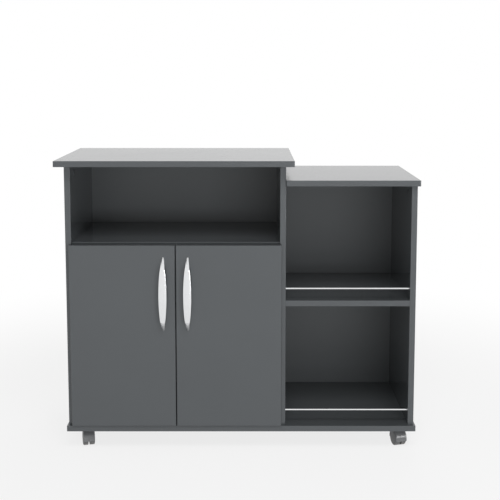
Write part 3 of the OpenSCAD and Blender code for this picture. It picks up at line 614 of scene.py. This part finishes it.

# %% [markdown]
# ### Copies in place
# Screws of one size are all alike, so one is modelled and copied. Each copy could stay an object
# of its own, turned and moved, but a pattern on Object coordinates would then turn with it. So
# every copy's place goes into its mesh, and the copies are joined into one piece. A piece is
# dressed last: it gets a finish and the body that it rides on, and the nodes that it stands for
# are hidden.

# %% Copy a screw to its places and dress the piece
def put_copies(master, name, places):
    """One piece out of copies of a master. Each place is a point and where the head looks."""
    copies = []
    for point, look in places:
        copy = master.copy()
        copy.data = master.data.copy()
        bpy.context.scene.collection.objects.link(copy)
        turned = look.to_track_quat("Z", "Y").to_matrix().to_4x4()
        copy.matrix_world = Matrix.Translation(point) @ turned
        copies.append(copy)
    bpy.data.objects.remove(master)
    start_from(copies[0])
    for copy in copies:
        copy.select_set(True)
    bpy.ops.object.transform_apply(location=True, rotation=True, scale=True)
    bpy.ops.object.join()
    piece = bpy.context.object
    piece.name = name
    return piece


def dress(piece, slot, body, *nodes):
    """Gives a new piece its finish and the body it rides on, and hides the nodes it stands for."""
    piece.data.materials.clear()
    piece.data.materials.append(finish_of[slot])
    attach(piece, body)
    if nodes:
        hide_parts(*nodes)
    print(f"{piece.name}: {len(piece.data.polygons)} faces on {body}")

# %% [markdown]
# ### The frame's screws replaced
# Seven nodes of the frame are screws. The heads of those in the doors look into the cupboard, and
# those under the base and the castors' plates look down. The plates of the hinges stand on both
# sides of the cupboard, so each of their screws looks inwards from its own side. A head's
# diameter and a screw's length are measured on the frame's solid, and only two sizes that its
# box doesn't show, the height of the head and the diameter of the shank, are given here.

# %% Replace the frame's screws
INTO_CUPBOARD = Vector((0, 1, 0))
DOWN = Vector((0, 0, -1))
INWARDS = None  # worked out for each screw, from the side that it is on
SCREW_KINDS = {  # height of the head, diameter of the shank, where the head looks
    "handle_screws_left": (0.0025, 0.0040, INTO_CUPBOARD),
    "handle_screws_right": (0.0025, 0.0040, INTO_CUPBOARD),
    "cup_screws_left": (0.0016, 0.0035, INTO_CUPBOARD),
    "cup_screws_right": (0.0016, 0.0035, INTO_CUPBOARD),
    "plate_screws": (0.0020, 0.0040, INWARDS),
    "castor_screws": (0.0018, 0.0040, DOWN),
    "base_screws": (0.0030, 0.0050, DOWN),
}

bodies = frame["record"]["behaviour"]["bodies"]
body_of = {node: body for body, nodes in bodies.items() for node in nodes}
cupboard_middle = (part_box("side_left")[1].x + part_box("divider")[0].x) / 2


def screw_places(node, looks):
    """Where the tops of a node's screws are, with the diameter of a head and the whole length."""
    tops = []
    for low, high in loose_boxes(node):
        middle = (low + high) / 2
        look = looks or Vector((1 if middle.x < cupboard_middle else -1, 0, 0))
        along = max(range(3), key=lambda axis: abs(look[axis]))
        length = high[along] - low[along]
        head_d = max(high[axis] - low[axis] for axis in range(3) if axis != along)
        tops.append((middle + look * length / 2, look))
    return tops, head_d, length


for node, (head_h, shank_d, looks) in SCREW_KINDS.items():
    tops, head_d, length = screw_places(node, looks)
    feet = [(top - look * head_h, look) for top, look in tops]
    one = screw(head_d, head_h, shank_d, length - head_h)
    piece = put_copies(one, f"recessed_{node}", feet)
    print(f"{len(feet)} screws, {1000 * length:.0f} mm long, heads {1000 * head_d:.1f} mm wide")
    dress(piece, slot_of[node], body_of[node], node)

# %% [markdown]
# ## The hinges' own screws
# Each hinge arm is clipped over its plate and held by two screws: one that sets the gap between
# the doors and one that fixes the arm. The frame has their seats in the arm. They could be made
# anew, but they are the same screw again, short and wide, so the same functions make them.

# %% Seat two screws in each hinge arm
ARM_SCREW_D = 0.0068
ARM_SCREW_H = 0.0013
ARM_SEAT_D = 0.0043
ARM_T = 0.0022
SEAT_DEPTHS = (0.018, 0.054)  # behind the front edge of the panel

panel_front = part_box("side_left")[0].y
arm_places = []
for side, look_x in (("left", 1), ("right", -1)):
    for level in ("upper", "lower"):
        low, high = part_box(f"hinge_arm_{side}_{level}")
        outside = high.x if look_x > 0 else low.x
        for depth in SEAT_DEPTHS:
            point = Vector((outside, panel_front + depth, (low.z + high.z) / 2))
            arm_places.append((point, Vector((look_x, 0, 0))))
arm_screw = screw(ARM_SCREW_D, ARM_SCREW_H, ARM_SEAT_D, ARM_T)
arm_screws = put_copies(arm_screw, "hinge_arm_screws", arm_places)
dress(arm_screws, "zinc", "carcass")

# %% [markdown]
# ## Handles with softened edges
# A die-cast handle has no sharp edge left once it has been tumbled and plated, and the bend
# between a leg and the bow is a soft curve. The frame's handle has both as crisp edges. It could
# be modelled again from nothing, but a bevel on a merged copy keeps its form and softens only
# where faces meet at an angle.

# %% Soften the handles
HANDLE_EASE = 0.0006
HANDLE_STEPS = 3
HANDLE_SHARP_ABOVE = math.radians(25)
HANDLE_SMOOTH_BELOW = math.radians(40)


def rounded_copy(node, name, width, segments, sharp_above, smooth_below):
    """A copy of a node with its sharp edges rounded and all but sharp ones shaded smooth."""
    piece = merged_copy(node)
    piece.name = name
    rounding = piece.modifiers.new("rounding", "BEVEL")
    rounding.width = width
    rounding.segments = segments
    rounding.limit_method = "ANGLE"
    rounding.angle_limit = sharp_above
    bpy.ops.object.modifier_apply(modifier=rounding.name)
    bpy.ops.object.shade_smooth_by_angle(angle=smooth_below)
    return piece


for node in ("handle_left", "handle_right"):
    soft = rounded_copy(
        node, f"eased_{node}", HANDLE_EASE, HANDLE_STEPS, HANDLE_SHARP_ABOVE, HANDLE_SMOOTH_BELOW
    )
    dress(soft, "satin_chrome", body_of[node], node)

# %% [markdown]
# ## Cover caps
# A cover cap is a thin plastic disc pushed over a cam lock. The frame's caps have sharp rims. They
# could be turned anew, but the same rounding as on the handles, only smaller, is enough to let a
# rim catch a line of light.

# %% Round the cover caps
CAP_EASE = 0.0003
CAP_STEPS = 2
CAP_SHARP_ABOVE = math.radians(30)

caps = rounded_copy(
    "cam_caps", "rounded_cam_caps", CAP_EASE, CAP_STEPS, CAP_SHARP_ABOVE, SMOOTH_BELOW
)
dress(caps, "cap", "carcass", "cam_caps")

# %% [markdown]
# ## The studio
# The cart stands on a pale floor in a white studio. The white could come from strong lamps, but
# those would wash out the charcoal. So the world shows as white to the camera and in gloss, and
# lights the cart only softly.

# %% The world
WHITE = (1, 1, 1, 1)
AMBIENT = 0.30


def bare_tree(owner):
    """Empties the node tree of a material or a world, and gives a wire to build on."""
    owner.use_nodes = True
    owner.node_tree.nodes.clear()
    return Wire(owner.node_tree)


def is_ray(wire, kind):
    """1 for rays of one kind, such as Camera or Glossy, and 0 for all others."""
    return wire.node("ShaderNodeLightPath", {}, {}, f"Is {kind} Ray")


def light_the_world():
    """White where it is seen or mirrored, and a soft light on everything else."""
    world = bpy.data.worlds.new("studio")
    bpy.context.scene.world = world
    wire = bare_tree(world)
    shown = is_ray(wire, "Camera") | is_ray(wire, "Glossy") | is_ray(wire, "Transmission")
    white = wire.node("ShaderNodeBackground", {}, {"Color": WHITE, "Strength": 1.0})
    soft = wire.node("ShaderNodeBackground", {}, {"Color": WHITE, "Strength": AMBIENT})
    whole = wire.node("ShaderNodeMixShader", {}, {0: shown, 1: soft, 2: white})
    wire.node("ShaderNodeOutputWorld", {}, {"Surface": whole})


light_the_world()
print(f"world: {AMBIENT:.2f} of white on the cart, full white behind it")

# %% [markdown]
# ### Lamps
# One big lamp would light the fronts and leave the bays dark. So softboxes shape the cart: a wide
# one low in front, a little to the right, that reaches into the bays, one overhead, and a faint
# one behind that lifts the rear edges. The first two are kept out of reflections, where they would
# print bright patches on the satin fronts. A small low reflector on the right does the opposite:
# it is seen in reflections only, as the bright line along the castors' hoods and a glint on the
# handles. It hangs below the worktops, so they never mirror it.

# %% Softboxes
CART_MIDDLE = (0, 0, 0.4)
FLOOR_IN_FRONT = (0.2, -1.3, 0.0)
RIGHT_CASTOR = (0.41, -0.15, 0.03)


def softbox(name, place, aim, size, watts, shines=True, mirrored=True):
    """A soft lamp of this width and height, which the camera never sees."""
    lamp = bpy.data.lights.new(name, "AREA")
    lamp.shape = "RECTANGLE"
    lamp.size, lamp.size_y = size
    lamp.energy = watts
    holder = bpy.data.objects.new(name, lamp)
    bpy.context.scene.collection.objects.link(holder)
    holder.visible_camera = False
    holder.visible_diffuse = shines
    holder.visible_glossy = mirrored
    towards = Vector(aim) - Vector(place)
    holder.location = place
    holder.rotation_euler = towards.to_track_quat("-Z", "Y").to_euler()
    print(f"{name}: {watts} W, {towards.length:.1f} m away")


softbox("front", (1.1, -4.2, 0.3), CART_MIDDLE, size=(2.6, 0.6), watts=68, mirrored=False)
softbox("overhead", (0.3, -2.2, 2.9), FLOOR_IN_FRONT, size=(1.8, 1.2), watts=46, mirrored=False)
softbox("reflector", (1.29, -1.24, 0.50), RIGHT_CASTOR, size=(0.34, 0.34), watts=4.6, shines=False)
softbox("rear", (0.6, 2.4, 2.2), CART_MIDDLE, size=(1.6, 1.0), watts=18)

# %% [markdown]
# ### Floor
# The floor could be one pale plane, but seen this low it would end in a hard horizon. So its
# colour stays near the cart, where it holds the shadow, and turns into the studio's white
# further out.

# %% The floor
FLOOR_HALF = 6.0
FLOOR_NEAR = 0.7
FLOOR_FAR = 1.9
FLOOR_PAINT = (0.86, 0.86, 0.86, 1)
NEAR_GLOW = 0.8


def floor_finish():
    """Pale paint that holds a shadow near the cart and glows white far from it."""
    finish = bpy.data.materials.new("studio_floor")
    wire = bare_tree(finish)
    settings = {"operation": "LENGTH"}
    reach = wire.node("ShaderNodeVectorMath", settings, {0: own_place(wire)}, "Value")
    far = between(reach, FLOOR_NEAR, FLOOR_FAR)
    shown = is_ray(wire, "Camera") | is_ray(wire, "Glossy")
    blend = shown * (NEAR_GLOW + (1 - NEAR_GLOW) * far)
    paint = wire.node("ShaderNodeBsdfDiffuse", {}, {"Color": FLOOR_PAINT})
    glow = wire.node("ShaderNodeEmission", {}, {"Color": WHITE, "Strength": 1.0})
    whole = wire.node("ShaderNodeMixShader", {}, {0: blend, 1: paint, 2: glow})
    wire.node("ShaderNodeOutputMaterial", {}, {"Surface": whole})
    return finish


bpy.ops.object.select_all(action="DESELECT")
bpy.ops.mesh.primitive_plane_add(size=2 * FLOOR_HALF, location=(0, 0, 0))
floor = bpy.context.object
floor.name = "floor"
floor.data.materials.append(floor_finish())
print(f"floor: {2 * FLOOR_HALF:.0f} m wide, all white from {FLOOR_FAR} m out")
